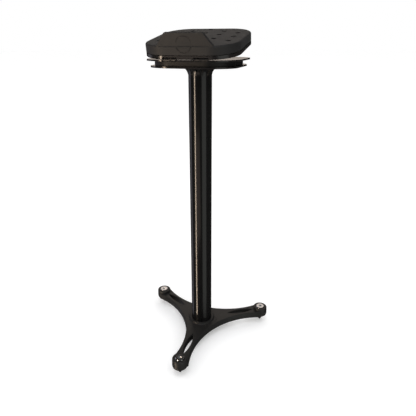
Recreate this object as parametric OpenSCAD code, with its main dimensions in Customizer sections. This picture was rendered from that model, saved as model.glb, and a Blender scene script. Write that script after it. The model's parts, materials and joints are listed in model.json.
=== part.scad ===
// Speaker stand: a cast three-legged base, a fixed steel column and a platform that swivels and tilts.
// Millimetres, +Z up, origin on the floor under the column axis, front leg along -Y.

/* [Overall] */
// Height of the middle of the resting surface above the floor
stand_height = 914; // [760:1:1220]
// Radius of the circle through the three foot centres
foot_circle_r = 204; // [165:1:260]
// Angle by which the platform is turned about the column
platform_yaw = 0; // [-180:1:180]
// Tilt of the platform as it stands
platform_tilt = 10.5; // [0:0.5:16]

/* [Cast base] */
// Height of the flat top of the legs above the floor
leg_top_z = 42; // [38:1:60]
// Depth of the legs, top face to lower edge
leg_depth = 20; // [12:1:24]
// Thickness of the casting's walls and top skin
cast_wall = 6; // [4:0.5:8]
// Distance from the axis to the nearest point of the curved edge between two legs
hub_waist_r = 56; // [52:1:64]
// Radius of the curved edge between two legs
edge_curve_r = 231; // [200:1:280]
// Radius of the round boss at each foot
boss_r = 22.5; // [19:0.5:26]
// Height by which each boss stands above the legs
boss_rise = 8; // [4:0.5:12]
// Depth of each boss, top to lower face
boss_depth = 25; // [20:0.5:30]
// Length of the slot through each leg
slot_l = 88; // [50:1:95]
// Width of the slot through each leg at its widest
slot_w = 16; // [8:0.5:18]
// Outer radius of the raised ring round the column
ring_r = 40; // [38:0.5:44]
// Height by which the ring stands above the legs
ring_rise = 5; // [3:0.5:8]

/* [Levelling feet] */
// Radius of the levelling screw's head
head_r = 13.5; // [11:0.25:15]
// Thickness of the levelling screw's head
head_h = 6; // [4:0.5:8]
// Height by which the head stands above its boss
head_proud = 2; // [0.5:0.5:3]
// Radius of the levelling screw's shank
shank_r = 6; // [4:0.5:7]
// Width across the flats of the key socket
socket_af = 10; // [6:0.5:12]
// Travel of each foot
foot_travel = 10; // [4:0.5:12]
// Radius of the top of the cone foot
cone_top_r = 13.5; // [11:0.5:16]
// Radius of the rounded tip of the cone foot
cone_tip_r = 4.5; // [3:0.5:6]

/* [Column] */
// Outside radius of the column tube
tube_r = 31.75; // [28:0.25:35]
// Wall of the column tube
tube_wall = 2.5; // [1.5:0.1:4]
// Height of the flared head above the tube
head_flare_h = 24; // [16:1:36]
// Radius of the flared head where it meets the lower plate
head_flare_r = 41; // [36:0.5:52]
// Length of the head's plug inside the tube
plug_l = 20; // [12:1:40]

/* [Platform] */
// Side of the square lower plate
lower_side = 230; // [200:1:240]
// Side of the square swivel housing
housing_side = 210; // [180:1:220]
// Height of the swivel housing with its running gap
housing_h = 12.5; // [10:0.5:20]
// Side of the square swivel plate
swivel_side = 244; // [236:1:260]
// Side of the square tilting tray and of its pad
pad_side = 246; // [240:1:260]
// Corner radius of all the plates
corner_r = 70; // [40:1:76]
// Thickness of the lower plate and of the swivel plate
plate_t = 4; // [3:0.5:6]
// Thickness of the tilting tray's sheet
tray_t = 3; // [2:0.5:4]
// Height of the tilting tray's rim, sheet included
tray_rim_h = 8.5; // [6:0.5:12]
// Thickness of the rubber pad, with the part that sits in the tray
pad_t = 28; // [22:0.5:36]
// Distance from the column axis forward to the hinge line
hinge_reach = 115; // [108:1:118]

/* [Front lip] */
// Height of the lip above the pad
lip_h = 31; // [12:0.5:40]
// Width of the lip where it leaves the pad
lip_base_w = 144; // [100:1:156]
// Width of the lip along its top
lip_top_w = 96; // [60:1:110]
// Thickness of the lip
lip_t = 9; // [6:0.5:14]

/* [Pad holes] */
// Radius of the blind holes in the pad
hole_r = 6.5; // [4:0.5:8]
// Depth of the blind holes in the pad
hole_depth = 9; // [4:0.5:14]
// Distance between neighbouring holes of the six-sided pattern
hole_pitch = 52; // [36:0.5:52]

/* [Tilt jack] */
// Radius of the knurled wheel
wheel_r = 28; // [22:0.5:32]
// Thickness of the knurled wheel
wheel_h = 8; // [6:0.5:10]
// Radius of the threaded stud
stud_r = 6; // [5:0.5:7]
// Width across the flats of the stud's lower end
stud_flat_w = 9; // [8:0.5:9.5]
// Length of the stud
stud_l = 96; // [92:1:104]
// Outside radius of the hollow pivot
pivot_r = 15; // [12:0.5:17]

/* [Fits] */
// Radial clearance of a turning or sliding fit
running_fit = 0.08; // [0.05:0.01:0.1]
// Radial clearance round a screw, a plug or a bush that stands still
loose_fit = 0.1; // [0.05:0.05:0.3]
// Gap between plates that turn or fold over each other
plate_gap = 1; // [0.8:0.1:2]

/* [Hidden] */
$fn = 64;
leg_angles = [-90, 30, 150];

// Cast base
leg_bottom_z = leg_top_z - leg_depth;
boss_top_z = leg_top_z + boss_rise;
boss_bottom_z = boss_top_z - boss_depth;
edge_centre_r = hub_waist_r + edge_curve_r;
hub_r = ring_r + 4;
boss_step = 1;
slot_centre_r = foot_circle_r - boss_r - 5 - slot_l / 2;
counterbore_r = head_r + 0.5;
bush_r = shank_r + 2;
cone_grip = 14;
head_chamfer = 1.5;
socket_depth = 4;
counterbore_z = boss_top_z + head_proud - head_h - foot_travel - 0.5;

// Column
tube_bottom_z = leg_bottom_z + 10;
tube_in_r = tube_r - tube_wall;
bolt_r = 6;
bolt_head_r = 10;
bolt_head_h = 7.5;
bolt_washer_r = 14;
bolt_washer_t = 1.5;
floor_web_z = leg_bottom_z + 6;
column_plug_l = 25;

// Hinge and tilting stack, measured down from the height of the resting surface.
// The hinge height follows from turning the closed stack about the hinge by the tilt.
knuckle_r = 3.7;
pin_r = 1.8;
rise_closed = plate_gap + tray_t + pad_t;
hinge_z = stand_height - rise_closed / cos(platform_tilt) - hinge_reach * tan(platform_tilt);
swivel_top_z = hinge_z;
swivel_bottom_z = swivel_top_z - plate_t;
housing_bottom_z = swivel_bottom_z - housing_h + plate_gap;
lower_top_z = swivel_bottom_z - housing_h;
lower_bottom_z = lower_top_z - plate_t;
tube_top_z = lower_bottom_z - head_flare_h;
tray_z = swivel_top_z + plate_gap;
pad_z = tray_z + tray_t;
pad_top_z = pad_z + pad_t;
tray_nose = 2.5;
pad_front_y = -hinge_reach - tray_nose;
pad_back = pad_front_y + pad_side / 2;
pad_step = tray_t + 1;
knuckle_l = 12;
knuckle_gap = 0.4;
leaf_l = 6;
notch_l = 3 * knuckle_l + 4 * knuckle_gap;
pad_screw_at = pad_side / 3;
hinge_xs = [-40, 40];

// Swivel bearing and pivot
thrust_t = 2;
thrust_r = 60;
boss_floor_z = lower_top_z + thrust_t;
flange_r = 24;
flange_t = 2;
pivot_end_l = 22;
pivot_bottom_z = tube_top_z - plug_l - pivot_end_l;
pivot_washer_t = 2.5;
pivot_nut_h = 10;
plate_screw_r = 2.5;
plate_screw_ring = 26;
head_screw_l = 16;
housing_screw_l = 12;
housing_bore_depth = 9;
pad_screw_l = 12;
housing_screw_at = housing_side / 3;
housing_corner_r = corner_r - 8;
housing_wall = 4;

// Tilt jack
washer_t = 1;
wheel_z = swivel_top_z + washer_t;
cup_gap = 1.5;
cup_floor_z = wheel_z + wheel_h + cup_gap;
cup_t = 2;
cup_in_r = wheel_r + 3;
cup_flange_r = cup_in_r + 10;
tip_r = 9;
tip_clearance = 0.25;
// Height of the cup's lower face above the hinge, and where that face crosses the axis when tilted
cup_rise = cup_floor_z - hinge_z;
stud_top_z = hinge_z + hinge_reach * tan(platform_tilt)
  + (cup_rise - tip_r - tip_clearance) / cos(platform_tilt) + tip_r;
cup_rivet_ring = cup_in_r + 6;
stud_thread_l = 44;
stud_play = 0.4;
guide_l = 14;
guide_z = swivel_top_z - 50;

// A square with round corners, centred
module rounded_square(side, r) {
  straight = side - 2 * r;
  square([side, straight], center = true);
  square([straight, side], center = true);
  for (x = [-1, 1], y = [-1, 1]) {
    translate([x * straight / 2, y * straight / 2]) circle(r);
  }
}

module rounded_plate(side, r, t) {
  linear_extrude(t) rounded_square(side, r);
}

// The notch in the front edge of a plate that a hinge sits in
module hinge_notch(h) {
  translate([-notch_l / 2, -2 * hinge_reach, 0]) cube([notch_l, hinge_reach + leaf_l, h]);
}

// Puts a child, modelled in the platform's own frame, at the platform's turn about the column
module on_platform() {
  rotate([0, 0, platform_yaw]) children();
}

// Puts a child, modelled with the stack closed flat, at the platform's tilt about the hinge
module on_tilt() {
  on_platform() translate([0, -hinge_reach, hinge_z]) rotate([platform_tilt, 0, 0])
    translate([0, hinge_reach, -hinge_z]) children();
}

module at_foot(i) {
  rotate([0, 0, leg_angles[i]]) translate([foot_circle_r, 0, 0]) children();
}

module tube(r_out, r_in, h) {
  difference() {
    cylinder(r = r_out, h = h);
    translate([0, 0, -1]) cylinder(r = r_in, h = h + 2);
  }
}

// A countersunk screw pointing down, its flat head flush with z = 0
module flat_screw(r, l) {
  translate([0, 0, -l]) cylinder(r = r, h = l);
  translate([0, 0, -r]) cylinder(r1 = r, r2 = 2 * r, h = r);
}

// The hole that a flat screw sits in
module flat_screw_hole(r, l) {
  screw_hole_r = r + loose_fit;
  translate([0, 0, -l]) cylinder(r = screw_hole_r, h = l + 1);
  translate([0, 0, -screw_hole_r]) cylinder(r1 = screw_hole_r, r2 = 2 * screw_hole_r, h = screw_hole_r);
  cylinder(r = 2 * screw_hole_r, h = 1);
}

// Plan outline of the cast base, pulled in by inset
module base_outline(inset) {
  r = boss_r - boss_step - inset;
  difference() {
    union() {
      polygon([for (a = leg_angles, s = [-1, 1])
        [foot_circle_r * cos(a) - s * r * sin(a), foot_circle_r * sin(a) + s * r * cos(a)]]);
      for (i = [0:2]) at_foot(i) circle(r);
    }
    for (a = leg_angles) {
      rotate([0, 0, a + 60]) translate([edge_centre_r, 0]) circle(edge_curve_r + inset, $fn = 180);
    }
  }
}

// The pointed slot of one leg, grown outward by grow, in the leg's own direction
module leg_slot(grow) {
  half_l = slot_l / 2;
  half_w = slot_w / 2;
  arc_r = (half_l * half_l + half_w * half_w) / (2 * half_w);
  translate([slot_centre_r, 0]) intersection() {
    translate([0, arc_r - half_w]) circle(arc_r + grow, $fn = 120);
    translate([0, half_w - arc_r]) circle(arc_r + grow, $fn = 120);
  }
}

module base_casting() {
  color([0.11, 0.11, 0.11]) difference() {
    union() {
      translate([0, 0, leg_bottom_z]) linear_extrude(leg_depth) base_outline(0);
      for (i = [0:2]) at_foot(i) translate([0, 0, boss_bottom_z]) cylinder(r = boss_r, h = boss_depth);
      translate([0, 0, leg_bottom_z]) cylinder(r = ring_r, h = leg_depth + ring_rise);
    }
    // hollow underside, with walls left round the slots, the bosses and the hub
    translate([0, 0, leg_bottom_z - 1]) linear_extrude(leg_depth - cast_wall + 1) difference() {
      base_outline(cast_wall);
      circle(hub_r);
      for (i = [0:2]) {
        at_foot(i) circle(boss_r);
        rotate([0, 0, leg_angles[i]]) leg_slot(cast_wall / 2);
      }
    }
    for (a = leg_angles) {
      rotate([0, 0, a]) translate([0, 0, leg_bottom_z - 1]) linear_extrude(leg_depth + 2) leg_slot(0);
    }
    // column socket, bolt hole and the recess for the bolt's washer and head
    translate([0, 0, tube_bottom_z]) cylinder(r = tube_r + loose_fit, h = leg_depth + ring_rise);
    translate([0, 0, leg_bottom_z - 1]) cylinder(r = bolt_r + loose_fit, h = leg_depth);
    translate([0, 0, leg_bottom_z - 1]) cylinder(r = bolt_washer_r + 1, h = floor_web_z - leg_bottom_z + 1);
    for (i = [0:2]) at_foot(i) {
      translate([0, 0, counterbore_z]) cylinder(r = counterbore_r, h = boss_depth);
      translate([0, 0, boss_bottom_z - 1]) cylinder(r = bush_r + loose_fit, h = boss_depth);
      // room for the top of the cone foot
      translate([0, 0, leg_bottom_z - 1])
        cylinder(r = cone_top_r + 1, h = boss_bottom_z - leg_bottom_z + 1);
    }
  }
}

// Threaded bushes pressed into the foot bosses
module foot_inserts() {
  color([0.72, 0.6, 0.32]) for (i = [0:2]) at_foot(i) translate([0, 0, boss_bottom_z])
    tube(bush_r, shank_r + running_fit, counterbore_z - boss_bottom_z);
}

module level_screw(i) {
  head_top_z = boss_top_z + head_proud;
  color([0.82, 0.82, 0.84]) at_foot(i) difference() {
    union() {
      translate([0, 0, head_top_z - head_h]) cylinder(r = head_r, h = head_h - head_chamfer);
      translate([0, 0, head_top_z - head_chamfer])
        cylinder(r1 = head_r, r2 = head_r - head_chamfer, h = head_chamfer);
      translate([0, 0, boss_bottom_z - cone_grip])
        cylinder(r = shank_r, h = head_top_z - head_h - boss_bottom_z + cone_grip + 0.5);
    }
    translate([0, 0, head_top_z - socket_depth])
      cylinder(d = socket_af / cos(30), h = socket_depth + 1, $fn = 6);
  }
}

// A cone foot moulded on the end of the levelling screw
module foot_cone(i) {
  flat_h = 4;
  cone_h = boss_bottom_z - flat_h - cone_tip_r;
  color([0.07, 0.07, 0.07]) at_foot(i) difference() {
    union() {
      translate([0, 0, boss_bottom_z - flat_h - plate_gap / 2]) cylinder(r = cone_top_r, h = flat_h);
      translate([0, 0, cone_tip_r]) cylinder(r1 = cone_tip_r, r2 = cone_top_r, h = cone_h - plate_gap / 2);
      translate([0, 0, cone_tip_r]) sphere(cone_tip_r);
    }
    translate([0, 0, boss_bottom_z - cone_grip]) cylinder(r = shank_r, h = cone_grip + 1);
  }
}

module base_washer() {
  color([0.7, 0.7, 0.7]) translate([0, 0, floor_web_z - bolt_washer_t])
    tube(bolt_washer_r, bolt_r + loose_fit, bolt_washer_t);
}

module base_bolt() {
  seat_z = floor_web_z - bolt_washer_t;
  color([0.6, 0.6, 0.62]) union() {
    translate([0, 0, seat_z - bolt_head_h]) cylinder(r = bolt_head_r, h = bolt_head_h, $fn = 6);
    translate([0, 0, seat_z - 0.5]) cylinder(r = bolt_r, h = column_plug_l - 3);
  }
}

// A steel plug welded in the foot of the tube, threaded for the bolt
module column_plug() {
  color([0.45, 0.45, 0.46]) translate([0, 0, tube_bottom_z])
    tube(tube_in_r - loose_fit, bolt_r + loose_fit, column_plug_l);
}

module column_tube() {
  color([0.1, 0.1, 0.1]) translate([0, 0, tube_bottom_z])
    tube(tube_r, tube_in_r, tube_top_z - tube_bottom_z);
}

// Flared head on top of the tube, with cast ribs round it and a plug inside the tube
module column_head() {
  rib_count = 12;
  rib_w = 3.5;
  color([0.13, 0.13, 0.13]) difference() {
    union() {
      translate([0, 0, tube_top_z - plug_l]) cylinder(r = tube_in_r - loose_fit, h = plug_l + 0.5);
      translate([0, 0, tube_top_z]) cylinder(r1 = tube_r, r2 = tube_r + 1.5, h = head_flare_h / 2);
      translate([0, 0, tube_top_z + head_flare_h / 2])
        cylinder(r1 = tube_r + 1.5, r2 = head_flare_r, h = head_flare_h / 2);
      for (k = [0:rib_count - 1]) rotate([90, 0, k * 360 / rib_count]) linear_extrude(rib_w, center = true)
        polygon([[0, tube_top_z + 2], [tube_r, tube_top_z + 2], [head_flare_r + 2, lower_bottom_z - 3],
          [head_flare_r + 2, lower_bottom_z], [0, lower_bottom_z]]);
    }
    translate([0, 0, tube_top_z - plug_l - 1]) cylinder(r = pivot_r + running_fit, h = 100);
    for (k = [0:3]) rotate([0, 0, platform_yaw + 45 + 90 * k])
      translate([plate_screw_ring, 0, lower_bottom_z - head_screw_l])
        cylinder(r = plate_screw_r + loose_fit, h = head_screw_l + 1);
  }
}

module lower_plate() {
  color([0.16, 0.15, 0.15]) on_platform() difference() {
    translate([0, 0, lower_bottom_z]) rounded_plate(lower_side, corner_r, plate_t);
    translate([0, 0, lower_bottom_z - 1]) cylinder(r = pivot_r + running_fit, h = plate_t + 2);
    for (k = [0:3]) rotate([0, 0, 45 + 90 * k]) translate([plate_screw_ring, 0, lower_top_z])
      flat_screw_hole(plate_screw_r, plate_t + 1);
  }
}

module lower_plate_screws() {
  color([0.5, 0.5, 0.52]) on_platform() for (k = [0:3]) rotate([0, 0, 45 + 90 * k])
    translate([plate_screw_ring, 0, lower_top_z]) flat_screw(plate_screw_r, head_screw_l);
}

// Slippery ring that the swivelling stack turns on
module thrust_washer() {
  color([0.9, 0.9, 0.86]) translate([0, 0, lower_top_z])
    tube(thrust_r, plate_screw_ring + 2 * plate_screw_r + 2, thrust_t);
}

// Moulded housing, open below, that carries the swivel plate on the thrust washer
module swivel_housing() {
  screw_boss_r = 7;
  height = swivel_bottom_z - housing_bottom_z;
  color([0.09, 0.09, 0.09]) on_platform() difference() {
    translate([0, 0, housing_bottom_z]) rounded_plate(housing_side, housing_corner_r, height);
    translate([0, 0, housing_bottom_z - 1]) linear_extrude(height - housing_wall + 1) difference() {
      rounded_square(housing_side - 2 * housing_wall, housing_corner_r - housing_wall);
      circle(thrust_r + 4);
      for (x = [-1, 1], y = [-1, 1]) translate([x, y] * housing_screw_at) circle(screw_boss_r);
    }
    translate([0, 0, housing_bottom_z - 1])
      cylinder(r = thrust_r + 1, h = boss_floor_z - housing_bottom_z + 1);
    translate([0, 0, housing_bottom_z - 1]) cylinder(r = pivot_r + loose_fit, h = height + 2);
    for (x = [-1, 1], y = [-1, 1])
      translate([x * housing_screw_at, y * housing_screw_at, swivel_bottom_z - housing_bore_depth])
        cylinder(r = plate_screw_r + loose_fit, h = housing_bore_depth + 1);
  }
}

module swivel_plate() {
  color([0.16, 0.15, 0.15]) on_platform() difference() {
    translate([0, 0, swivel_bottom_z]) rounded_plate(swivel_side, corner_r, plate_t);
    translate([0, 0, swivel_bottom_z - 1]) cylinder(r = pivot_r + loose_fit, h = plate_t + 2);
    translate([0, 0, swivel_top_z - flange_t]) cylinder(r = flange_r + loose_fit, h = flange_t + 1);
    for (x = [-1, 1], y = [-1, 1]) translate([x * housing_screw_at, y * housing_screw_at, swivel_top_z])
      flat_screw_hole(plate_screw_r, plate_t + 1);
    for (x = hinge_xs) translate([x, 0, swivel_bottom_z - 1]) hinge_notch(plate_t + 2);
  }
}

module swivel_plate_screws() {
  color([0.5, 0.5, 0.52]) on_platform() for (x = [-1, 1], y = [-1, 1])
    translate([x * housing_screw_at, y * housing_screw_at, swivel_top_z])
      flat_screw(plate_screw_r, housing_screw_l);
}

// Hollow pivot: holds the swivelling stack down on the head and guides the jack stud
module pivot_bush() {
  color([0.55, 0.55, 0.57]) on_platform() difference() {
    union() {
      translate([0, 0, pivot_bottom_z]) cylinder(r = pivot_r, h = swivel_top_z - pivot_bottom_z);
      translate([0, 0, swivel_top_z - flange_t]) cylinder(r = flange_r, h = flange_t);
    }
    translate([0, 0, guide_z + guide_l]) cylinder(r = stud_r + stud_play, h = 100);
    translate([0, 0, pivot_bottom_z - 1])
      cylinder(r = stud_r + stud_play, h = guide_z - pivot_bottom_z + 1);
    translate([0, 0, guide_z - 1]) linear_extrude(guide_l + 2) intersection() {
      circle(stud_r + stud_play);
      square([stud_flat_w + 0.6, 3 * stud_r], center = true);
    }
  }
}

module pivot_washer() {
  color([0.75, 0.75, 0.76]) translate([0, 0, tube_top_z - plug_l - pivot_washer_t])
    tube(pivot_r + 7, pivot_r + loose_fit, pivot_washer_t);
}

module pivot_nut() {
  nut_z = tube_top_z - plug_l - pivot_washer_t - pivot_nut_h;
  color([0.6, 0.6, 0.62]) translate([0, 0, nut_z]) difference() {
    cylinder(r = pivot_r + 9, h = pivot_nut_h, $fn = 6);
    translate([0, 0, -1]) cylinder(r = pivot_r + loose_fit, h = pivot_nut_h + 2);
  }
}

// Two knuckles welded in the notch of the swivel plate, with room for one knuckle between them
module lower_knuckles(x) {
  color([0.14, 0.14, 0.14]) on_platform() for (s = [-1, 1])
    translate([x + s * (knuckle_l + knuckle_gap), -hinge_reach, hinge_z]) difference() {
      union() {
        rotate([0, 90, 0]) cylinder(r = knuckle_r, h = knuckle_l, center = true);
        translate([-knuckle_l / 2, 0, -knuckle_r]) cube([knuckle_l, leaf_l, knuckle_r]);
      }
      rotate([0, 90, 0]) cylinder(r = pin_r + loose_fit, h = knuckle_l + 2, center = true);
    }
}

module hinge_pin(x) {
  color([0.75, 0.75, 0.77]) on_platform() translate([x, -hinge_reach, hinge_z]) rotate([0, 90, 0])
    cylinder(r = pin_r, h = notch_l - 2 * knuckle_gap, center = true);
}

module wheel_washer() {
  color([0.9, 0.9, 0.86]) translate([0, 0, swivel_top_z]) tube(flange_r - 2, stud_r + 1, washer_t);
}

// Knurled nut wheel that raises the stud
module jack_wheel() {
  grip_count = 20;
  color([0.2, 0.2, 0.21]) on_platform() translate([0, 0, wheel_z]) difference() {
    cylinder(r = wheel_r, h = wheel_h);
    translate([0, 0, -1]) cylinder(r = stud_r + running_fit, h = wheel_h + 2);
    for (k = [0:grip_count - 1]) rotate([0, 0, k * 360 / grip_count]) translate([wheel_r + 1, 0, -1])
      cylinder(r = 2.4, h = wheel_h + 2, $fn = 24);
  }
}

module jack_stud() {
  flats_l = stud_l - stud_thread_l;
  color([0.68, 0.68, 0.7]) on_platform() translate([0, 0, stud_top_z - stud_l]) union() {
    translate([0, 0, flats_l]) cylinder(r = stud_r, h = stud_l - flats_l - 2.5);
    linear_extrude(flats_l + 0.5) intersection() {
      circle(stud_r);
      square([stud_flat_w, 3 * stud_r], center = true);
    }
    // domed tip, a slice of a ball centred tip_r below the top of the stud
    intersection() {
      translate([0, 0, stud_l - tip_r]) sphere(tip_r);
      translate([0, 0, stud_l - 3]) cylinder(r = stud_r, h = 4);
    }
  }
}

module tilt_tray() {
  rim_t = tray_t;
  color([0.15, 0.15, 0.15]) on_tilt() difference() {
    translate([0, pad_back, tray_z]) rounded_plate(pad_side, corner_r, tray_rim_h);
    translate([0, pad_back, pad_z]) rounded_plate(pad_side - 2 * rim_t, corner_r - rim_t, tray_rim_h);
    translate([0, 0, tray_z - 1]) cylinder(r = cup_in_r + cup_t + loose_fit, h = tray_t + 2);
    for (x = hinge_xs) translate([x, 0, tray_z - 1]) hinge_notch(tray_t + 3);
    for (x = [-1, 1], y = [-1, 1]) translate([x * pad_screw_at, pad_back + y * pad_screw_at, tray_z])
      mirror([0, 0, 1]) flat_screw_hole(plate_screw_r, tray_t + 1);
    for (k = [0:3]) rotate([0, 0, 45 + 90 * k]) translate([cup_rivet_ring, 0, tray_z - 1])
      cylinder(r = 2 + loose_fit, h = tray_t + 2);
  }
}

// One knuckle welded in the notch of the tilting tray
module upper_knuckle(x) {
  color([0.14, 0.14, 0.14]) on_tilt() translate([x, -hinge_reach, hinge_z]) difference() {
    union() {
      rotate([0, 90, 0]) cylinder(r = knuckle_r, h = knuckle_l, center = true);
      translate([-knuckle_l / 2, 0, plate_gap])
        cube([knuckle_l, leaf_l, min(tray_t, knuckle_r - plate_gap)]);
    }
    rotate([0, 90, 0]) cylinder(r = pin_r + running_fit, h = knuckle_l + 2, center = true);
  }
}

// Pressed cup in the tilting tray: the stud bears on its floor, and the wheel nests in it when closed
module jack_cup() {
  color([0.6, 0.6, 0.61]) on_tilt() difference() {
    union() {
      translate([0, 0, tray_z]) cylinder(r = cup_in_r + cup_t, h = cup_floor_z + cup_t - tray_z);
      translate([0, 0, pad_z]) cylinder(r = cup_flange_r, h = cup_t);
    }
    translate([0, 0, tray_z - 1]) cylinder(r = cup_in_r, h = cup_floor_z - tray_z + 1);
    for (k = [0:3]) rotate([0, 0, 45 + 90 * k]) translate([cup_rivet_ring, 0, pad_z - 1])
      cylinder(r = 2 + loose_fit, h = cup_t + 2);
  }
}

module jack_cup_rivets() {
  color([0.7, 0.7, 0.72]) on_tilt() for (k = [0:3]) rotate([0, 0, 45 + 90 * k])
    translate([cup_rivet_ring, 0, tray_z]) union() {
      cylinder(r = 2, h = tray_t + cup_t + 0.5);
      translate([0, 0, tray_t + cup_t]) cylinder(r = 3.5, h = 1.5);
    }
}

// Moulded rubber pad, stepped to sit in the tray, with blind holes in its top and a lip along its front
module isolation_pad() {
  cup_room_h = max(cup_floor_z + cup_t - pad_z, cup_t) + 1.5;
  rim_room_h = tray_rim_h - tray_t + 1;
  color([0.3, 0.31, 0.33]) on_tilt() difference() {
    union() {
      translate([0, pad_back, pad_z])
        rounded_plate(pad_side - 2 * pad_step, corner_r - pad_step, rim_room_h + 1);
      translate([0, pad_back, pad_z + rim_room_h]) rounded_plate(pad_side, corner_r, pad_t - rim_room_h);
      // the lip's front face follows the pad's own outline
      intersection() {
        translate([0, pad_front_y + lip_t, pad_top_z - 1]) rotate([90, 0, 0]) linear_extrude(2 * lip_t)
          polygon([[-lip_base_w / 2, 0], [lip_base_w / 2, 0],
            [lip_top_w / 2, lip_h + 1], [-lip_top_w / 2, lip_h + 1]]);
        translate([0, pad_back, pad_z]) rounded_plate(pad_side, corner_r, pad_t + 2 * lip_h);
      }
    }
    translate([0, 0, pad_z - 1]) cylinder(r = cup_in_r + cup_t + 1, h = cup_room_h + 1);
    translate([0, 0, pad_z - 1]) cylinder(r = cup_flange_r + 1, h = cup_t + 3);
    // nineteen holes: columns of three, four, five, four and three
    for (i = [-2:2]) {
      count = 5 - abs(i);
      column_x = i * hole_pitch * cos(30);
      for (j = [0:count - 1])
        translate([column_x, pad_back + (j - (count - 1) / 2) * hole_pitch, pad_top_z - hole_depth])
          cylinder(r = hole_r, h = hole_depth + 1, $fn = 32);
    }
    for (x = [-1, 1], y = [-1, 1]) translate([x * pad_screw_at, pad_back + y * pad_screw_at, pad_z - 1])
      cylinder(r = plate_screw_r + loose_fit, h = pad_screw_l);
  }
}

module pad_screws() {
  color([0.5, 0.5, 0.52]) on_tilt() for (x = [-1, 1], y = [-1, 1])
    translate([x * pad_screw_at, pad_back + y * pad_screw_at, tray_z])
      mirror([0, 0, 1]) flat_screw(plate_screw_r, pad_screw_l);
}

base_casting();
foot_inserts();
base_bolt();
base_washer();
column_plug();
column_tube();
column_head();
lower_plate();
lower_plate_screws();
thrust_washer();
level_screw(0);  // level_screw_front
level_screw(1);  // level_screw_right
level_screw(2);  // level_screw_left
foot_cone(0);  // foot_cone_front
foot_cone(1);  // foot_cone_right
foot_cone(2);  // foot_cone_left
swivel_housing();
swivel_plate();
swivel_plate_screws();
pivot_bush();
pivot_washer();
pivot_nut();
lower_knuckles(hinge_xs[0]);  // lower_knuckles_left
lower_knuckles(hinge_xs[1]);  // lower_knuckles_right
hinge_pin(hinge_xs[0]);  // hinge_pin_left
hinge_pin(hinge_xs[1]);  // hinge_pin_right
wheel_washer();
jack_wheel();
jack_stud();
tilt_tray();
upper_knuckle(hinge_xs[0]);  // upper_knuckle_left
upper_knuckle(hinge_xs[1]);  // upper_knuckle_right
jack_cup();
jack_cup_rivets();
isolation_pad();
pad_screws();
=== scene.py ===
import json
import math

import bmesh
import bpy
from mathutils import Matrix, Vector


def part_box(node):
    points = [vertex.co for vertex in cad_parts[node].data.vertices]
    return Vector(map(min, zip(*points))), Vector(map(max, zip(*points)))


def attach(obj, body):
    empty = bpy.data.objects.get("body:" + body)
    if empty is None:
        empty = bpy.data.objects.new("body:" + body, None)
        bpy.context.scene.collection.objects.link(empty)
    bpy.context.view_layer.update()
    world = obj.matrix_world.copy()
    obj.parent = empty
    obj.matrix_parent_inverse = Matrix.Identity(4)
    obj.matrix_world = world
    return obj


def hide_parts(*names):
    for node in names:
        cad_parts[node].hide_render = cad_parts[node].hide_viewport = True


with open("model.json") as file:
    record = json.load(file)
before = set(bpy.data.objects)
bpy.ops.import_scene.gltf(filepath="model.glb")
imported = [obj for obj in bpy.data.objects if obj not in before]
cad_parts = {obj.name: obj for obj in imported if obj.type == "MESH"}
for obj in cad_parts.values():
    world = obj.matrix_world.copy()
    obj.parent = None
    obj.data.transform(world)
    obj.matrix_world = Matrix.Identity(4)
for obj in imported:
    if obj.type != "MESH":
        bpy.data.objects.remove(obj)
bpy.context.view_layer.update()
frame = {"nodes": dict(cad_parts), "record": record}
MM = 0.001


# ---- Camera ----
# Stands at chest height, a little to the right of the front leg, and looks down at the stand.
# Its vertical shift is kept small so that the platform stays in the picture from every side.
CAMERA_TURN_DEG = 18.08
CAMERA_BACK = 1.123
CAMERA_HEIGHT = 0.904
LOOK_TURN_DEG = -1.069
LOOK_DOWN_DEG = 19.86
LENS_MM = 35.18
SHIFT_Y = -0.05

view_camera = bpy.data.cameras.new("view_camera")
view_camera.lens = LENS_MM
view_camera.sensor_width = 36.0
view_camera.shift_y = SHIFT_Y
view_camera.clip_end = 200.0
camera_stand = bpy.data.objects.new("camera_stand", view_camera)
turn = math.radians(CAMERA_TURN_DEG)
camera_stand.location = (CAMERA_BACK * math.sin(turn), -CAMERA_BACK * math.cos(turn), CAMERA_HEIGHT)
camera_stand.rotation_euler = (math.radians(90.0 - LOOK_DOWN_DEG), 0.0, turn + math.radians(LOOK_TURN_DEG))
bpy.context.scene.collection.objects.link(camera_stand)
bpy.context.scene.camera = camera_stand


# ---- Cast base: a hollow iron casting, powder coated satin black ----
# Three legs swept into a round hub, with a pointed slot through each leg, a round boss for each
# levelling screw and a raised ring round the column. The feet of the legs carry everything else.
LEG_ANGLES = [math.radians(a) for a in (-90, 30, 150)]
FOOT_CIRCLE_R = 204 * MM
LEG_TOP = 42 * MM
LEG_BOTTOM = 22 * MM
SKIN_BOTTOM = 36 * MM
CAST_WALL = 6 * MM
CAST_EDGE = 1.6 * MM
BOSS_R = 22.5 * MM
BOSS_TOP = 50 * MM
BOSS_BOTTOM = 25 * MM
BOSS_STEP = 1 * MM
BOSS_FOOT = 0.6 * MM
BOSS_TAPER = 0.35 * MM
BORE_EASE = 0.8 * MM
COUNTERBORE_R = 14 * MM
COUNTERBORE_Z = 35.5 * MM
BUSH_HOLE_R = 8.1 * MM
CONE_ROOM_R = 14.5 * MM
EDGE_CURVE_R = 231 * MM
EDGE_CENTRE_R = 287 * MM
SLOT_CENTRE_R = 132.5 * MM
SLOT_HALF_L = 44 * MM
SLOT_HALF_W = 8 * MM
RING_R = 40 * MM
RING_TOP = 47 * MM
RING_EDGE = 2.2 * MM
RING_FOOT = 3.3 * MM
RING_SINK = 1.3 * MM
HUB_R = 44 * MM
SOCKET_R = 31.85 * MM
SOCKET_Z = 32 * MM
BOLT_HOLE_R = 6.1 * MM
RECESS_R = 15 * MM
RECESS_TOP = 28 * MM
PIP_ROWS = [(46.5 * MM, 13), (51.5 * MM, 11)]
PIP_R = 1.7 * MM
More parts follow.
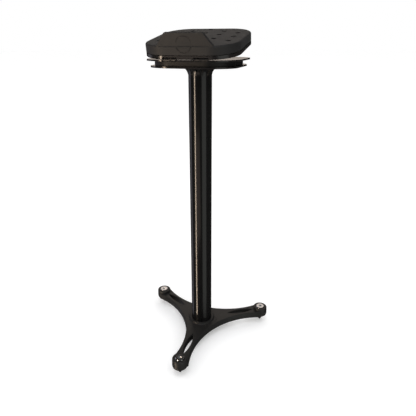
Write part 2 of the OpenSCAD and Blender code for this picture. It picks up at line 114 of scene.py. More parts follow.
PIP_HEIGHT = 0.8 * MM
PIP_MIDDLE_DEG = -30
PIP_STEP_DEG = 6.6


def linear(hex_colour):
    """An sRGB hex colour as linear RGBA."""
    parts = [int(hex_colour[i:i + 2], 16) / 255 for i in (1, 3, 5)]
    return tuple(c / 12.92 if c <= 0.04045 else ((c + 0.055) / 1.055) ** 2.4 for c in parts) + (1.0,)


def add_node(tree, kind, inputs=None, **settings):
    """Adds one shader node; an input given as a socket is linked, any other value is set."""
    made = tree.nodes.new(kind)
    for name, value in settings.items():
        setattr(made, name, value)
    for name, value in (inputs or {}).items():
        if isinstance(value, bpy.types.NodeSocket):
            tree.links.new(value, made.inputs[name])
        else:
            made.inputs[name].default_value = value
    return made


def start_finish(name):
    """A new material with an empty tree and the object's own coordinates in metres."""
    finish = bpy.data.materials.new(name)
    finish.use_nodes = True
    finish.node_tree.nodes.clear()
    place = add_node(finish.node_tree, "ShaderNodeTexCoord")
    return finish, finish.node_tree, place.outputs["Object"]


def end_finish(tree, skin):
    add_node(tree, "ShaderNodeOutputMaterial", {"Surface": skin.outputs["BSDF"]})


def powder_coat(name, dark, light, rough, grain_mm, grain_depth_mm, coat):
    """Baked powder paint: even colour, a fine orange peel and slightly uneven gloss."""
    finish, tree, place = start_finish(name)
    patches = add_node(tree, "ShaderNodeTexNoise", {"Vector": place, "Scale": 1 / (60 * MM), "Detail": 4.0})
    colour = add_node(tree, "ShaderNodeMix", {"Factor": patches.outputs["Fac"]}, data_type="RGBA")
    colour.inputs[6].default_value = linear(dark)
    colour.inputs[7].default_value = linear(light)
    gloss = add_node(tree, "ShaderNodeMapRange", {"Value": patches.outputs["Fac"], "From Min": 0.3, "From Max": 0.7,
                                                  "To Min": rough * 0.88, "To Max": rough * 1.12})
    peel = add_node(tree, "ShaderNodeTexNoise", {"Vector": place, "Scale": 1 / (grain_mm * MM), "Detail": 3.0,
                                                 "Roughness": 0.55})
    relief = add_node(tree, "ShaderNodeBump", {"Height": peel.outputs["Fac"], "Strength": 1.0,
                                               "Distance": grain_depth_mm * MM})
    skin = add_node(tree, "ShaderNodeBsdfPrincipled", {
        "Base Color": colour.outputs[2], "Roughness": gloss.outputs["Result"], "Normal": relief.outputs["Normal"],
        "IOR": 1.5, "Coat Weight": coat, "Coat Roughness": 0.12})
    end_finish(tree, skin)
    return finish


def link_mesh(name, mesh):
    piece = bpy.data.objects.new(name, mesh)
    bpy.context.scene.collection.objects.link(piece)
    return piece


def smooth(piece, angle_deg=32):
    """Smooth shading that stays sharp at edges above the angle."""
    mesh = piece.data
    bm = bmesh.new()
    bm.from_mesh(mesh)
    for face in bm.faces:
        face.smooth = True
    for edge in bm.edges:
        edge.smooth = not (len(edge.link_faces) == 2 and edge.calc_face_angle(0) > math.radians(angle_deg))
    bm.to_mesh(mesh)
    bm.free()
    weighted = piece.modifiers.new("flat_faces_stay_flat", "WEIGHTED_NORMAL")
    weighted.keep_sharp = True


def turned(name, profile, steps=96, at=(0.0, 0.0)):
    """A solid of revolution from (radius, height) points that run up its outside and down its bore."""
    bm = bmesh.new()
    rings = []
    for r, z in profile:
        if r == 0:
            rings.append([bm.verts.new((at[0], at[1], z))] * steps)
        else:
            rings.append([bm.verts.new((at[0] + r * math.cos(2 * math.pi * k / steps),
                                        at[1] + r * math.sin(2 * math.pi * k / steps), z)) for k in range(steps)])
    for low, high in zip(rings, rings[1:] + rings[:1]):
        for k in range(steps):
            corners = [low[k], low[(k + 1) % steps], high[(k + 1) % steps], high[k]]
            corners = list(dict.fromkeys(corners))
            if len(corners) > 2:
                bm.faces.new(corners)
    bmesh.ops.recalc_face_normals(bm, faces=bm.faces)
    mesh = bpy.data.meshes.new(name)
    bm.to_mesh(mesh)
    bm.free()
    return link_mesh(name, mesh)


def fillet(corner, start_deg, r, steps=4):
    """Points of a quarter round about corner, as (radius, height), from start_deg anticlockwise."""
    return [(corner[0] + r * math.cos(math.radians(start_deg + 90 * k / steps)),
             corner[1] + r * math.sin(math.radians(start_deg + 90 * k / steps))) for k in range(steps + 1)]


def slab(name, outlines, low, high, edge):
    """A plate between two heights with rounded edges; the first outline is the rim, the rest are holes."""
    curve = bpy.data.curves.new(name, "CURVE")
    curve.dimensions = "2D"
    curve.fill_mode = "BOTH"
    curve.extrude = (high - low) / 2 - edge
    curve.bevel_depth = edge
    curve.bevel_resolution = 2
    curve.offset = -edge
    for outline in outlines:
        line = curve.splines.new("POLY")
        line.points.add(len(outline) - 1)
        for point, (x, y) in zip(line.points, outline):
            point.co = (x, y, 0.0, 1.0)
        line.use_cyclic_u = True
    holder = link_mesh(name + "_outline", curve)
    mesh = bpy.data.meshes.new_from_object(holder.evaluated_get(bpy.context.evaluated_depsgraph_get()))
    bpy.data.objects.remove(holder)
    bm = bmesh.new()
    bm.from_mesh(mesh)
    bmesh.ops.remove_doubles(bm, verts=bm.verts, dist=0.01 * MM)
    bmesh.ops.translate(bm, verts=bm.verts, vec=(0.0, 0.0, (low + high) / 2))
    bmesh.ops.recalc_face_normals(bm, faces=bm.faces)
    bm.to_mesh(mesh)
    bm.free()
    return link_mesh(name, mesh)


def prism(name, outline, low, high):
    """A sharp-edged block with the given outline, for cutting with."""
    bm = bmesh.new()
    floor_loop = [bm.verts.new((x, y, low)) for x, y in outline]
    top_loop = [bm.verts.new((x, y, high)) for x, y in outline]
    bm.faces.new(floor_loop[::-1])
    bm.faces.new(top_loop)
    count = len(outline)
    for k in range(count):
        bm.faces.new((floor_loop[k], floor_loop[(k + 1) % count], top_loop[(k + 1) % count], top_loop[k]))
    bmesh.ops.recalc_face_normals(bm, faces=bm.faces)
    mesh = bpy.data.meshes.new(name)
    bm.to_mesh(mesh)
    bm.free()
    return link_mesh(name, mesh)


def combine(piece, others, operation):
    """Adds the other blocks to the piece, or cuts them out of it, and closes the hairline gaps that leaves."""
    for other in others:
        step = piece.modifiers.new("combine", "BOOLEAN")
        step.operation = operation
        step.solver = "EXACT"
        step.object = other
        bpy.context.view_layer.update()
        mesh = bpy.data.meshes.new_from_object(piece.evaluated_get(bpy.context.evaluated_depsgraph_get()))
        piece.modifiers.clear()
        bm = bmesh.new()
        bm.from_mesh(mesh)
        bmesh.ops.remove_doubles(bm, verts=bm.verts, dist=0.002 * MM)
        bm.to_mesh(mesh)
        bm.free()
        piece.data = mesh
        bpy.data.objects.remove(other)


def circle(r, steps=64, at=(0.0, 0.0)):
    return [(at[0] + r * math.cos(2 * math.pi * k / steps), at[1] + r * math.sin(2 * math.pi * k / steps))
            for k in range(steps)]


def base_outline(inset):
    """Plan of the casting, pulled in by inset: a half circle at each foot and a wide curve between legs."""
    end_r = BOSS_R - BOSS_STEP - inset
    curve_r = EDGE_CURVE_R + inset
    points = []
    for a in LEG_ANGLES:
        foot = Vector((math.cos(a), math.sin(a))) * FOOT_CIRCLE_R
        for k in range(25):
            t = a + math.pi * (k / 24 - 0.5)
            points.append((foot.x + end_r * math.cos(t), foot.y + end_r * math.sin(t)))
        out = Vector((math.cos(a + math.pi / 3), math.sin(a + math.pi / 3)))
        side = Vector((-out.y, out.x))
        chord = Vector(points[-1]).dot(out)
        half = math.acos((EDGE_CENTRE_R - chord) / curve_r)
        for k in range(49):
            t = half * (k / 24 - 1)
            point = out * EDGE_CENTRE_R + (side * math.sin(t) - out * math.cos(t)) * curve_r
            points.append((point.x, point.y))
    return points


def leg_slot(a, grow):
    """The pointed slot of one leg: two shallow arcs that meet at its ends."""
    arc_r = (SLOT_HALF_L ** 2 + SLOT_HALF_W ** 2) / (2 * SLOT_HALF_W)
    half = math.asin(SLOT_HALF_L / arc_r)
    points = []
    for s in (-1, 1):
        for k in range(24):
            t = half * (k / 12 - 1)
            along = SLOT_CENTRE_R - s * (arc_r + grow) * math.sin(t)
            across = s * ((arc_r + grow) * math.cos(t) - arc_r + SLOT_HALF_W)
            points.append((along * math.cos(a) - across * math.sin(a), along * math.sin(a) + across * math.cos(a)))
    return points[::-1]


feet_xy = [(FOOT_CIRCLE_R * math.cos(a), FOOT_CIRCLE_R * math.sin(a)) for a in LEG_ANGLES]
casting = slab("cast_base", [base_outline(0)] + [leg_slot(a, 0) for a in LEG_ANGLES], LEG_BOTTOM, LEG_TOP, CAST_EDGE)
hollow = prism("hollow", base_outline(CAST_WALL), LEG_BOTTOM - CAST_WALL, SKIN_BOTTOM)
combine(hollow, [prism("hub_core", circle(HUB_R, 96), 0, LEG_TOP)]
        + [prism("boss_core", circle(BOSS_R - 0.3 * MM, 64, at), 0, LEG_TOP) for at in feet_xy]
        + [prism("slot_core", leg_slot(a, CAST_WALL / 2), 0, LEG_TOP) for a in LEG_ANGLES], "DIFFERENCE")
combine(casting, [hollow], "DIFFERENCE")
for at in feet_xy:
    boss = turned("boss", fillet((BOSS_R - CAST_EDGE, BOSS_BOTTOM + CAST_EDGE), -90, CAST_EDGE)
                  + [(BOSS_R, LEG_TOP - BOSS_FOOT), (BOSS_R - BOSS_TAPER, BOSS_TOP - 3 * CAST_EDGE)]
                  + fillet((BOSS_R - 0.4 * MM - RING_EDGE, BOSS_TOP - RING_EDGE), 0, RING_EDGE)
                  + [(0, BOSS_TOP), (0, BOSS_BOTTOM)], 64, at)
    combine(casting, [boss], "UNION")
ring = turned("ring", [(RING_R + RING_FOOT, LEG_TOP - RING_SINK), (RING_R + RING_FOOT, LEG_TOP - 0.3 * MM)]
              + [(RING_R + 3 * MM * (1 - math.sin(t)), LEG_TOP + 2.4 * MM * (1 - math.cos(t)))
                 for t in (0.4, 0.8, 1.2)]
              + fillet((RING_R - RING_EDGE, RING_TOP - RING_EDGE), 0, RING_EDGE)
              + [(0, RING_TOP), (0, LEG_TOP - RING_SINK)])
combine(casting, [ring], "UNION")
pips = []
for row_r, count in PIP_ROWS:
    for k in range(count):
        t = math.radians(PIP_MIDDLE_DEG + (k - (count - 1) / 2) * PIP_STEP_DEG)
        pips.append(turned("pip", [(PIP_R, LEG_TOP - 1 * MM), (PIP_R, LEG_TOP + 0.3 * MM),
                                   (PIP_R * 0.7, LEG_TOP + PIP_HEIGHT), (0, LEG_TOP + PIP_HEIGHT),
                                   (0, LEG_TOP - 1 * MM)], 12,
                           (row_r * math.cos(t), row_r * math.sin(t))))
combine(casting, pips, "UNION")
bores = [turned("socket", [(SOCKET_R, SOCKET_Z), (SOCKET_R, RING_TOP - BORE_EASE), (SOCKET_R + BORE_EASE, RING_TOP),
                           (SOCKET_R + BORE_EASE, RING_TOP + CAST_WALL), (0, RING_TOP + CAST_WALL), (0, SOCKET_Z)]),
         prism("bolt_hole", circle(BOLT_HOLE_R, 48), 0, LEG_TOP),
         prism("bolt_recess", circle(RECESS_R, 64), 0, RECESS_TOP)]
for at in feet_xy:
    bores.append(turned("counterbore", [
        (COUNTERBORE_R, COUNTERBORE_Z), (COUNTERBORE_R, BOSS_TOP - BORE_EASE), (COUNTERBORE_R + BORE_EASE, BOSS_TOP),
        (COUNTERBORE_R + BORE_EASE, BOSS_TOP + 1 * MM), (0, BOSS_TOP + 1 * MM), (0, COUNTERBORE_Z)], 64, at))
    bores.append(prism("bush_hole", circle(BUSH_HOLE_R, 48, at), 0, LEG_TOP - 1 * MM))
    bores.append(prism("cone_room", circle(CONE_ROOM_R, 60, at), 0, BOSS_BOTTOM + 0.05 * MM))
combine(casting, bores, "DIFFERENCE")
smooth(casting)

# Satin black powder coat over a sand casting: the sand's grain, about a millimetre, shows through the paint.
cast_coat = powder_coat("satin_powder_coat_on_cast_iron", "#1a1a19", "#242322", 0.40, 1.6, 0.035, 0.0)
casting.data.materials.append(cast_coat)
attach(casting, "stand")
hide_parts("base_casting")


# ---- Bolt, washer and plug that hold the base to the column ----
# A zinc plated hexagon bolt and washer sit in the recess under the hub and pull on a turned steel
# plug, which is welded in the foot of the tube.
EASED_EDGE = 0.35 * MM


def ease(node_name, width=EASED_EDGE, steps=2):
    """Rounds a CAD piece's edges and shades it smoothly."""
    piece = frame["nodes"][node_name]
    bevel = piece.modifiers.new("eased_edges", "BEVEL")
    bevel.width = width
    bevel.segments = steps
    bevel.limit_method = "ANGLE"
    bevel.angle_limit = math.radians(40)
    bevel.use_clamp_overlap = False
    bevel.miter_outer = "MITER_ARC"
    bevel.harden_normals = True
    for face in piece.data.polygons:
        face.use_smooth = True
    return piece


def coat(finish, *node_names):
    for node_name in node_names:
        ease(node_name).data.materials[0] = finish


def metal(name, colour_a, colour_b, rough, grain_mm, stretch):
    """Bare or plated metal: a faint drift of colour and the fine lines that its machining left."""
    finish, tree, place = start_finish(name)
    clouds = add_node(tree, "ShaderNodeTexNoise", {"Vector": place, "Scale": 1 / (18 * MM), "Detail": 3.0})
    colour = add_node(tree, "ShaderNodeMix", {"Factor": clouds.outputs["Fac"]}, data_type="RGBA")
    colour.inputs[6].default_value = linear(colour_a)
    colour.inputs[7].default_value = linear(colour_b)
    lines = add_node(tree, "ShaderNodeMapping", {"Vector": place, "Scale": stretch})
    scratches = add_node(tree, "ShaderNodeTexNoise", {"Vector": lines.outputs["Vector"], "Scale": 1 / (grain_mm * MM),
                                                      "Detail": 2.0})
    gloss = add_node(tree, "ShaderNodeMapRange", {"Value": scratches.outputs["Fac"], "From Min": 0.3, "From Max": 0.7,
                                                  "To Min": rough * 0.75, "To Max": rough * 1.25})
    relief = add_node(tree, "ShaderNodeBump", {"Height": scratches.outputs["Fac"], "Strength": 0.5,
                                               "Distance": 0.02 * MM})
    skin = add_node(tree, "ShaderNodeBsdfPrincipled", {
        "Base Color": colour.outputs[2], "Metallic": 1.0, "Roughness": gloss.outputs["Result"],
        "Normal": relief.outputs["Normal"]})
    end_finish(tree, skin)
    return finish


# Bright zinc plating: pale, slightly blue and soft in its reflections.
zinc = metal("zinc_plated_steel", "#b8bcc2", "#9fa3a8", 0.34, 1.2, (1.0, 1.0, 1.0))
# Turned steel: the tool leaves rings about a quarter of a millimetre apart, drawn coarser here.
turned_steel = metal("turned_steel", "#8d8d8f", "#a09f9e", 0.30, 0.8, (0.1, 0.1, 1.0))
coat(zinc, "base_bolt", "base_washer")
coat(turned_steel, "column_plug")


# ---- Levelling feet ----
# Chrome plated screws turned with a hexagon key, in brass bushes pressed into the bosses, each with a cone
# of hard rubber moulded on its lower end.
def moulded(name, dark, light, rough, grain_mm, grain_depth_mm, sheen, clouds_mm=40):
    """Moulded rubber or plastic: matt, with the fine even grain of an etched mould."""
    finish, tree, place = start_finish(name)
    clouds = add_node(tree, "ShaderNodeTexNoise", {"Vector": place, "Scale": 1 / (clouds_mm * MM), "Detail": 5.0})
    colour = add_node(tree, "ShaderNodeMix", {"Factor": clouds.outputs["Fac"]}, data_type="RGBA")
    colour.inputs[6].default_value = linear(dark)
    colour.inputs[7].default_value = linear(light)
    grain = add_node(tree, "ShaderNodeTexVoronoi", {"Vector": place, "Scale": 1 / (grain_mm * MM)})
    gloss = add_node(tree, "ShaderNodeMapRange", {"Value": clouds.outputs["Fac"], "From Min": 0.3, "From Max": 0.7,
                                                  "To Min": rough * 0.92, "To Max": rough * 1.08})
    relief = add_node(tree, "ShaderNodeBump", {"Height": grain.outputs["Distance"], "Strength": 1.0,
                                               "Distance": grain_depth_mm * MM})
    skin = add_node(tree, "ShaderNodeBsdfPrincipled", {
        "Base Color": colour.outputs[2], "Roughness": gloss.outputs["Result"], "Normal": relief.outputs["Normal"],
        "IOR": 1.5, "Sheen Weight": sheen, "Sheen Roughness": 0.4})
    end_finish(tree, skin)
    return finish


# Chrome: a near mirror, with the faint haze that handling leaves.
chrome = metal("chrome_plating", "#e2e3e6", "#d3d4d8", 0.12, 2.0, (1.0, 1.0, 1.0))
# Brass bush, turned and left bare.
brass = metal("turned_brass", "#c9a55c", "#b8934b", 0.28, 0.8, (0.1, 0.1, 1.0))
# Hard rubber of the feet, with a fine moulded grain.
foot_rubber = moulded("hard_foot_rubber", "#191918", "#222120", 0.52, 0.7, 0.02, 0.1)
coat(brass, "foot_inserts")
for side in ("front", "right", "left"):
    coat(chrome, "level_screw_" + side)
    frame["nodes"]["foot_cone_" + side].data.materials[0] = foot_rubber
    for face in frame["nodes"]["foot_cone_" + side].data.polygons:
        face.use_smooth = True


# ---- Column ----
# A round steel tube, 63.5 mm across, powder coated gloss black. It stands in the base's socket.
# Gloss powder coat: a smooth film with the slow ripple of orange peel, a few millimetres across.
gloss_coat = powder_coat("gloss_powder_coat_on_steel_tube", "#0b0b0b", "#100f0f", 0.17, 5.0, 0.012, 0.35)
coat(gloss_coat, "column_tube")


# ---- Column head ----
# A casting that plugs into the tube and flares out under the lower plate, with twelve ribs round it,
# coated like the column.
HEAD_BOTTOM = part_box("column_tube")[1][2]
HEAD_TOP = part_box("lower_plate")[0][2]
HEAD_R = 31.75 * MM
HEAD_FLARE = 9.25 * MM
HEAD_BORE_R = 15.08 * MM
PLUG_R = 29.15 * MM
PLUG_L = 20 * MM
RIB_COUNT = 12
RIB_HALF_T = 1.75 * MM
RIB_REACH = 43 * MM
RIB_EDGE = 0.7 * MM
head_l = HEAD_TOP - HEAD_BOTTOM
flare = [(HEAD_R + HEAD_FLARE * (k / 12) ** 2.4, HEAD_BOTTOM + head_l * 0.9 * k / 12) for k in range(13)]
head = turned("column_flare", [(PLUG_R, HEAD_BOTTOM - PLUG_L), (PLUG_R, HEAD_BOTTOM)] + flare
              + [(HEAD_R + HEAD_FLARE, HEAD_TOP), (HEAD_BORE_R, HEAD_TOP), (HEAD_BORE_R, HEAD_BOTTOM - PLUG_L)])
ribs = bmesh.new()
for k in range(RIB_COUNT):
    turn_rib = Matrix.Rotation(2 * math.pi * k / RIB_COUNT, 4, "Z")
    shape = [(0.9 * HEAD_R, HEAD_BOTTOM + 2.5 * MM), (HEAD_R + 0.3 * MM, HEAD_BOTTOM + 2.5 * MM)]
    shape += [(HEAD_R + 1.6 * MM + (RIB_REACH - HEAD_R - 1.6 * MM) * (j / 6) ** 1.5,
               HEAD_BOTTOM + 5 * MM + (head_l - 8 * MM) * j / 6) for j in range(7)]
    shape += [(RIB_REACH, HEAD_TOP - 0.05 * MM), (0.9 * HEAD_R, HEAD_TOP - 0.05 * MM)]
    faces = []
    for s in (-1, 1):
        faces.append([ribs.verts.new(turn_rib @ Vector((x, s * RIB_HALF_T, z))) for x, z in shape])
        ribs.faces.new(faces[-1])
    for j in range(len(shape)):
        n = (j + 1) % len(shape)
        ribs.faces.new((faces[0][j], faces[0][n], faces[1][n], faces[1][j]))
bmesh.ops.recalc_face_normals(ribs, faces=ribs.faces)
bmesh.ops.bevel(ribs, geom=[e for e in ribs.edges if e.calc_face_angle(0) > math.radians(60)],
                offset=RIB_EDGE, segments=2, affect="EDGES", profile=0.5)
rib_mesh = bpy.data.meshes.new("ribs")
ribs.to_mesh(rib_mesh)
ribs.free()
combine(head, [link_mesh("ribs", rib_mesh)], "UNION")
smooth(head)
head.data.materials.append(powder_coat("gloss_powder_coat_on_cast_head", "#0d0c0c", "#141312", 0.24, 2.2, 0.02, 0.3))
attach(head, "stand")
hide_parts("column_head")


# ---- Lower plate and swivel plate ----
# Square steel plates with round corners, 4 mm thick, powder coated gloss black like the column. The lower one
# is screwed to the head and stays still, the upper one turns on it.
plate_coat = powder_coat("gloss_powder_coat_on_steel_plate", "#141212", "#1d1a19", 0.22, 3.0, 0.012, 0.4)
# Black oxide on the countersunk screws: dark and slightly oily.
black_oxide = metal("black_oxide_steel", "#33343a", "#26272b", 0.38, 0.8, (1.0, 1.0, 1.0))
for plate in ("lower_plate", "swivel_plate"):
    ease(plate, 0.9 * MM, 3).data.materials[0] = plate_coat
coat(black_oxide, "lower_plate_screws", "swivel_plate_screws")


# ---- Swivel bearing ----
# A moulded black housing turns on a slippery ring. A hollow turned pivot with its washer and nut
# holds it down on the head.
# Black moulded plastic: an even low gloss from the etched mould.
housing_plastic = moulded("black_housing_plastic", "#141414", "#1b1b1b", 0.48, 0.6, 0.012, 0.0)
# Natural acetal: off-white, waxy and a little translucent.
acetal = moulded("natural_acetal", "#e9e6da", "#dedacb", 0.35, 0.8, 0.006, 0.0)
ease("swivel_housing", 0.8 * MM, 3).data.materials[0] = housing_plastic
coat(acetal, "thrust_washer", "wheel_washer")
coat(turned_steel, "pivot_bush")
coat(zinc, "pivot_washer", "pivot_nut")


# ---- Front hinge ----
# Short steel knuckles, welded in notches of the swivel plate and the tray, turn on bright steel pins.
# The knuckles are painted with the plates: the same black, a little duller.
hinge_coat = powder_coat("powder_coat_on_hinge", "#121110", "#191716", 0.3, 1.5, 0.015, 0.2)
bright_steel = metal("bright_steel", "#c4c5c8", "#aeb0b4", 0.2, 0.8, (1.0, 0.1, 0.1))
coat(hinge_coat, "lower_knuckles_left", "lower_knuckles_right", "upper_knuckle_left", "upper_knuckle_right")
coat(bright_steel, "hinge_pin_left", "hinge_pin_right")


# ---- Tilt jack ----
# A knurled aluminium wheel raises a bright threaded stud against a pressed steel cup, which is
# riveted under the tray.
# Black anodising: dark grey and metallic, with a satin sheen along the turning.
anodised = metal("black_anodised_aluminium", "#2b2b2e", "#222225", 0.32, 0.7, (1.0, 1.0, 0.2))
coat(anodised, "jack_wheel")
coat(bright_steel, "jack_stud")
coat(zinc, "jack_cup", "jack_cup_rivets")


# ---- Tilting tray ----
# A pressed steel tray with an upturned rim, powder coated like the plates. The rubber pad sits in it
# and is held by four screws from below.
ease("tilt_tray", 0.8 * MM, 3).data.materials[0] = plate_coat
coat(black_oxide, "pad_screws")


# ---- Isolation pad ----
# One moulding of firm grey-black rubber that sits in the tray: nineteen blind holes in its top, and a lip
# along its front that stops the loudspeaker from sliding off.
TILT_DEG = 10.5
PAD_SIDE = 246 * MM
PAD_CORNER_R = 70 * MM
PAD_CENTRE_Y = 5.5 * MM
PAD_STEP = 4 * MM
PAD_STEP_H = 6.5 * MM
PAD_T = 28 * MM
PAD_EDGE = 4.5 * MM
PAD_FRONT_Y = PAD_CENTRE_Y - PAD_SIDE / 2
HOLE_R = 6.5 * MM
HOLE_FLARE = 1.5 * MM
HOLE_DEPTH = 9 * MM
HOLE_PITCH = 52 * MM
LIP_T = 9 * MM
LIP_H = 31 * MM
LIP_BASE_W = 144 * MM
LIP_TOP_W = 96 * MM
LIP_ROOT = 6 * MM
LIP_EDGE = 2.2 * MM
LIP_CORNER_R = 7 * MM
LIP_STEP = 4 * MM
LIP_BACK = 0.25 * MM
CUP_ROOM_R = 42 * MM
CUP_ROOM_H = 5 * MM
WHEEL_ROOM_R = 34 * MM
WHEEL_ROOM_H = 10 * MM
BADGE_R = 20.5 * MM
BADGE_BAND = 2.4 * MM
BADGE_DEPTH = 1.3 * MM
BADGE_UP = 4 * MM
hinge = Vector(next(j for j in frame["record"]["behaviour"]["joints"] if j["name"] == "platform_tilt")["pos_m"])
tilt = Matrix.Translation(hinge) @ Matrix.Rotation(math.radians(TILT_DEG), 4, "X") @ Matrix.Translation(-hinge)
pad_bottom = hinge.z + 4 * MM
pad_top = pad_bottom + PAD_T


def pad_loop(inset, steps=16):
    """The pad's outline pulled in by inset."""
    half = PAD_SIDE / 2 - PAD_CORNER_R
    r = PAD_CORNER_R - inset
    loop = []
    for q, (sx, sy) in enumerate(((1, 1), (-1, 1), (-1, -1), (1, -1))):
        for k in range(steps + 1):
            t = math.pi / 2 * (q + k / steps)
            loop.append((sx * half + r * math.cos(t), PAD_CENTRE_Y + sy * half + r * math.sin(t)))
    return loop


def stack(name, levels):
    """A closed body lofted through outlines, given as (outline, height)."""
    bm = bmesh.new()
    loops = [[bm.verts.new((x, y, z)) for x, y in outline] for outline, z in levels]
    bm.faces.new(loops[0][::-1])
    bm.faces.new(loops[-1])
    for low, high in zip(loops, loops[1:]):
        for k in range(len(low)):
            n = (k + 1) % len(low)
            bm.faces.new((low[k], low[n], high[n], high[k]))
    bmesh.ops.recalc_face_normals(bm, faces=bm.faces)
    mesh = bpy.data.meshes.new(name)
    bm.to_mesh(mesh)
    bm.free()
    return link_mesh(name, mesh)


levels = [(pad_loop(PAD_STEP + 0.8 * MM), pad_bottom), (pad_loop(PAD_STEP), pad_bottom + 0.8 * MM),
          (pad_loop(PAD_STEP), pad_bottom + PAD_STEP_H), (pad_loop(1 * MM), pad_bottom + PAD_STEP_H),
          (pad_loop(0.3 * MM), pad_bottom + PAD_STEP_H + 0.3 * MM), (pad_loop(0), pad_bottom + PAD_STEP_H + 1 * MM)]
for k in range(7):
    t = math.pi / 2 * k / 6
    levels.append((pad_loop(PAD_EDGE * (1 - math.cos(t))), pad_top - PAD_EDGE * (1 - math.sin(t))))
pad = stack("rubber_pad", levels)


def lip_outline():
    """Front view of the lip: a low trapezium with rounded upper corners, as (across, up)."""
    half_base, half_top = LIP_BASE_W / 2, LIP_TOP_W / 2
    slope = math.atan2(LIP_H, half_base - half_top)
    back = LIP_CORNER_R * math.tan(slope / 2)
    right = [(half_base + LIP_ROOT * (half_base - half_top) / LIP_H, -LIP_ROOT)]
    centre = (half_top - back, LIP_H - LIP_CORNER_R)
    for k in range(9):
        t = math.pi / 2 - slope + slope * k / 8
        right.append((centre[0] + LIP_CORNER_R * math.cos(t), centre[1] + LIP_CORNER_R * math.sin(t)))
    corners = right + [(-x, y) for x, y in reversed(right)]
    points = []
    for (x0, y0), (x1, y1) in zip(corners, corners[1:] + corners[:1]):
        count = max(1, round(math.hypot(x1 - x0, y1 - y0) / LIP_STEP))
        points += [(x0 + (x1 - x0) * k / count, y0 + (y1 - y0) * k / count) for k in range(count)]
    return points


lip = slab("lip", [lip_outline()], 0.0, LIP_T, LIP_EDGE)
for corner in lip.data.vertices:
    beyond = max(0.0, abs(corner.co.x) - (PAD_SIDE / 2 - PAD_CORNER_R))
    corner.co.z -= PAD_CORNER_R - math.sqrt(PAD_CORNER_R ** 2 - beyond ** 2) + LIP_BACK
lip.data.transform(Matrix.Translation((0, PAD_FRONT_Y + LIP_T, pad_top)) @ Matrix.Rotation(math.pi / 2, 4, "X"))
combine(pad, [lip], "UNION")
holes = [turned("cup_room", [(CUP_ROOM_R, pad_bottom - MM), (CUP_ROOM_R, pad_bottom + CUP_ROOM_H),
                             (WHEEL_ROOM_R, pad_bottom + CUP_ROOM_H), (WHEEL_ROOM_R, pad_bottom + WHEEL_ROOM_H),
                             (0, pad_bottom + WHEEL_ROOM_H), (0, pad_bottom - MM)], 64)]
for i in range(-2, 3):
    count = 5 - abs(i)
    for j in range(count):
        at = (i * HOLE_PITCH * math.cos(math.radians(30)), PAD_CENTRE_Y + (j - (count - 1) / 2) * HOLE_PITCH)
        holes.append(turned("hole", [
            (0, pad_top - HOLE_DEPTH), (HOLE_R - 1 * MM, pad_top - HOLE_DEPTH),
            (HOLE_R, pad_top - HOLE_DEPTH + 1 * MM),
            (HOLE_R, pad_top - HOLE_FLARE), (HOLE_R + 0.3 * HOLE_FLARE, pad_top - 0.3 * HOLE_FLARE),
            (HOLE_R + HOLE_FLARE, pad_top), (HOLE_R + HOLE_FLARE, pad_top + MM), (0, pad_top + MM)], 32, at))
combine(pad, holes, "DIFFERENCE")

# A plain ring and a shallow dish in the middle of the front face, where a maker would put a badge
badge = turned("badge_ring", [(BADGE_R - BADGE_BAND, -BADGE_DEPTH), (BADGE_R, -BADGE_DEPTH), (BADGE_R + 0.4 * MM, MM),
                              (BADGE_R - BADGE_BAND - 0.4 * MM, MM)], 64)
dish = turned("badge_dish", [(0, -0.8 * BADGE_DEPTH), (0.3 * BADGE_R, -0.7 * BADGE_DEPTH), (0.5 * BADGE_R, -0.2 * MM),
                             (0.52 * BADGE_R, MM), (0, MM)], 64)
for cutter in (badge, dish):
    cutter.data.transform(Matrix.Translation((0, PAD_FRONT_Y, pad_top + BADGE_UP))
                          @ Matrix.Rotation(math.pi / 2, 4, "X"))
combine(pad, [badge, dish], "DIFFERENCE")
pad.data.transform(tilt)
smooth(pad)

# Firm rubber with a fine moulded grain: matt, and paler where light grazes it.
pad_rubber = moulded("grey_black_pad_rubber", "#1a1919", "#201f1f", 0.6, 0.8, 0.03, 0.04)
pad.data.materials.append(pad_rubber)
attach(pad, "platform")
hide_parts("isolation_pad")


# ---- Floor, daylight and lamps ----
# A plain pale floor under soft studio lamps: a tall narrow one at the left makes the column's bright line,
# a wide one at the right makes its soft grey band, and one overhead lights the tops.
FLOOR_R = 40.0
floor = prism("studio_floor", circle(FLOOR_R, 96), -0.02, 0.0)
finish, tree, place = start_finish("matt_floor_paint")
speckle = add_node(tree, "ShaderNodeTexNoise", {"Vector": place, "Scale": 1 / (300 * MM), "Detail": 2.0})
tone = add_node(tree, "ShaderNodeMix", {"Factor": speckle.outputs["Fac"]}, data_type="RGBA")
tone.inputs[6].default_value = linear("#fbfbfb")
tone.inputs[7].default_value = linear("#f7f7f7")
end_finish(tree, add_node(tree, "ShaderNodeBsdfPrincipled", {"Base Color": tone.outputs[2], "Roughness": 0.9,
                                                             "Specular IOR Level": 0.1,
                                                             "Emission Color": (1.0, 1.0, 1.0, 1.0),
                                                             "Emission Strength": 0.23}))
floor.data.materials.append(finish)
floor.visible_glossy = False
floor.visible_shadow = False

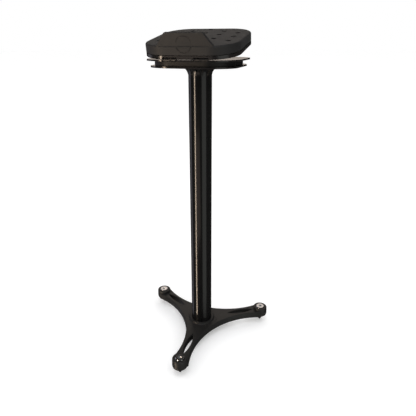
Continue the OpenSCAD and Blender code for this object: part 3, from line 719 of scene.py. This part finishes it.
sky = bpy.data.worlds.new("studio")
sky.use_nodes = True
sky.node_tree.nodes.clear()
rays = add_node(sky.node_tree, "ShaderNodeLightPath")
SKY_FILL = 0.85
GLOSS_FILL = 0.035
seen = add_node(sky.node_tree, "ShaderNodeBackground", {"Color": (1.0, 1.0, 1.0, 1.0), "Strength": 1.0})
mirrored = add_node(sky.node_tree, "ShaderNodeBackground", {"Color": linear("#f4f1ee"), "Strength": GLOSS_FILL})
fill = add_node(sky.node_tree, "ShaderNodeBackground", {"Color": (1.0, 1.0, 1.0, 1.0), "Strength": SKY_FILL})
soft = add_node(sky.node_tree, "ShaderNodeMixShader", {0: rays.outputs["Is Glossy Ray"], 1: fill.outputs[0],
                                                       2: mirrored.outputs[0]})
whole = add_node(sky.node_tree, "ShaderNodeMixShader", {0: rays.outputs["Is Camera Ray"], 1: soft.outputs[0],
                                                        2: seen.outputs[0]})
add_node(sky.node_tree, "ShaderNodeOutputWorld", {"Surface": whole.outputs[0]})
bpy.context.scene.world = sky
bpy.context.scene.view_settings.view_transform = "Standard"


def lamp(name, turn_deg, distance, height, wide, tall, power, colour, aim=(0.0, 0.0, 0.5), diffuse=True):
    """A soft rectangular lamp, turned round the column from the front, that faces the aim point."""
    light = bpy.data.lights.new(name, "AREA")
    light.shape = "RECTANGLE"
    light.size, light.size_y = wide, tall
    light.energy = power
    light.color = linear(colour)[:3]
    holder = bpy.data.objects.new(name, light)
    t = math.radians(turn_deg)
    holder.location = (distance * math.sin(t), -distance * math.cos(t), height)
    holder.rotation_euler = (Vector(aim) - holder.location).to_track_quat("-Z", "Y").to_euler()
    holder.visible_camera = False
    holder.visible_diffuse = diffuse
    bpy.context.scene.collection.objects.link(holder)


lamp("strip_left", CAMERA_TURN_DEG - 56, 2.2, 0.3, 0.22, 5.0, 50, "#ffe6cc", (0.0, 0.0, 0.3), False)
lamp("soft_right", CAMERA_TURN_DEG + 36, 3.0, 0.3, 2.4, 5.0, 17, "#fbfff8", (0.0, 0.0, 0.3))
lamp("edge_left", CAMERA_TURN_DEG - 118, 3.0, 0.3, 1.6, 5.0, 9, "#f4efff", (0.0, 0.0, 0.3))
lamp("back", CAMERA_TURN_DEG + 176, 3.0, 1.75, 2.4, 1.5, 9, "#fff1e4", (0.0, 0.0, 0.9))
lamp("top", CAMERA_TURN_DEG - 10, 0.6, 3.0, 1.2, 1.2, 11, "#f6f8ff", (0.0, 0.0, 0.3))
lamp("floor_glow", CAMERA_TURN_DEG - 34, 1.3, 0.05, 1.3, 0.7, 1.0, "#ffe9da", (0.0, 0.0, 0.86))
